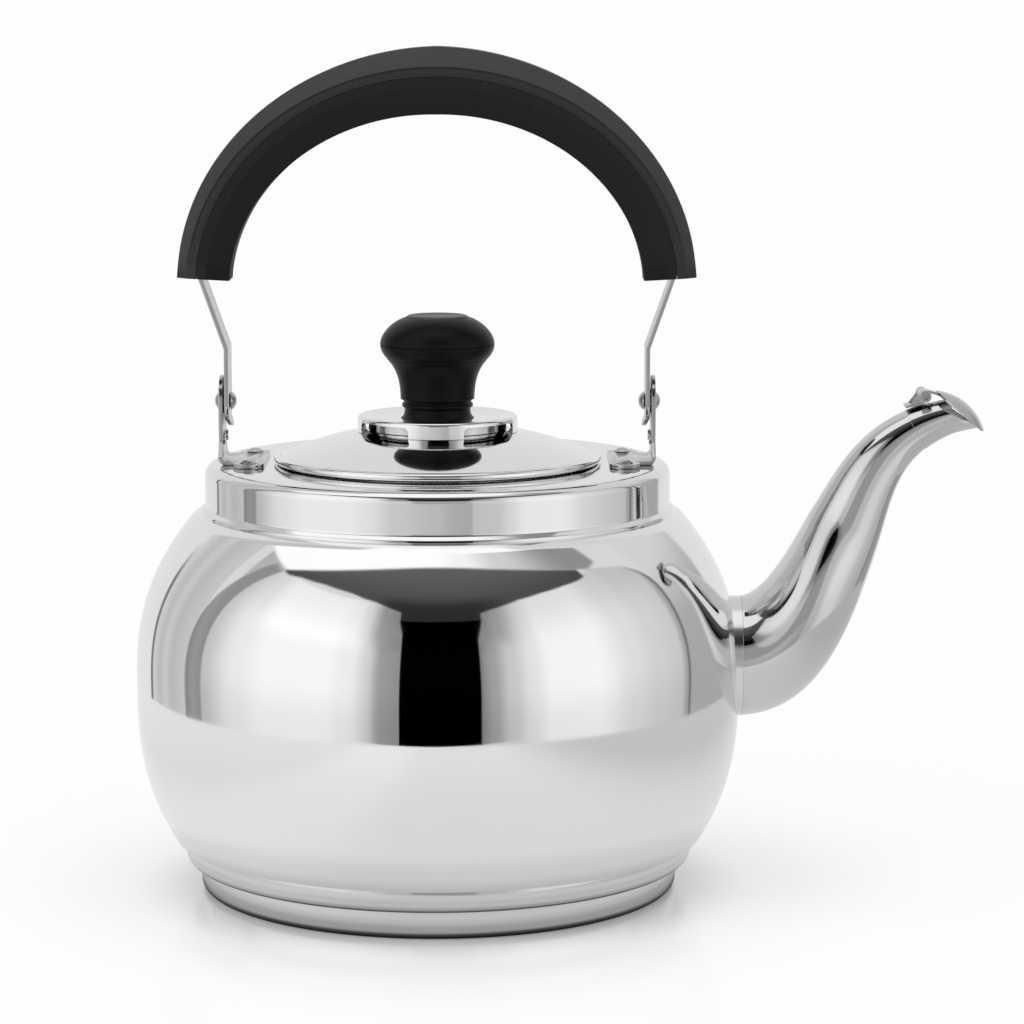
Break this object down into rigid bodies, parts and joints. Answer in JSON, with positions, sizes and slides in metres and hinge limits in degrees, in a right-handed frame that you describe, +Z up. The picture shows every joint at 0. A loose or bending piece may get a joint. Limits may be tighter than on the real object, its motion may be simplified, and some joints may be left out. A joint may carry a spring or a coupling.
{
  "type": "stovetop whistling kettle",
  "caption": "Round polished steel kettle with a stepped base, gooseneck spout with a hinged flap, lift-off vented lid with a knob, and an upright swing handle.",
  "frame": {"origin": "on the body's vertical axis, at the table", "axes": "+Z up, +X towards the spout, handle swings about X"},
  "size_m": [0.3083, 0.22, 0.3057],
  "materials": {
    "polished_steel": "mirror polished stainless steel",
    "fastener_steel": "bright rivet steel",
    "aluminium_core": "plain, hidden",
    "black_phenolic": "satin black phenolic"
  },
  "bodies": {
    "kettle": {"body_shell": "polished_steel", "base_pan": "polished_steel", "base_core": "aluminium_core", "base_cap": "polished_steel", "collar": "polished_steel", "spout": "polished_steel", "spout_ferrule": "polished_steel", "spout_tip": "polished_steel", "hinge_bracket": "polished_steel", "flap_pin": "fastener_steel", "bracket_left": "polished_steel", "bracket_right": "polished_steel", "bracket_rivets": "fastener_steel", "pivot_rivet_left": "fastener_steel", "pivot_rivet_right": "fastener_steel", "pivot_washers": "fastener_steel"},
    "handle": {"handle_band": "polished_steel", "grip_outer": "black_phenolic", "grip_inner": "black_phenolic", "grip_screws": "fastener_steel"},
    "lid": {"lid_dome": "polished_steel", "lid_skirt": "polished_steel", "vent_cap": "polished_steel", "vent_ring": "polished_steel", "whistle_housing": "polished_steel", "whistle_plate_lower": "polished_steel", "whistle_plate_upper": "polished_steel", "knob_collar": "black_phenolic", "knob_stem": "black_phenolic", "knob_cap": "black_phenolic", "knob_disc": "black_phenolic", "knob_screw": "fastener_steel", "knob_washer": "fastener_steel"},
    "flap": {"flap": "polished_steel"}
  },
  "joints": [
    {"name": "handle_swing", "type": "hinge", "parent": "kettle", "child": "handle", "pos_m": [0, 0, 0.1782], "axis": [1, 0, 0], "range_deg": [-85, 85]},
    {"name": "lid_lift", "type": "slide", "parent": "kettle", "child": "lid", "axis": [0, 0, 1], "range_m": [0, 0.06]},
    {"name": "flap_hinge", "type": "hinge", "parent": "kettle", "child": "flap", "pos_m": [0.1762, 0, 0.1804], "axis": [0, -1, 0], "range_deg": [0, 95]}
  ]
}
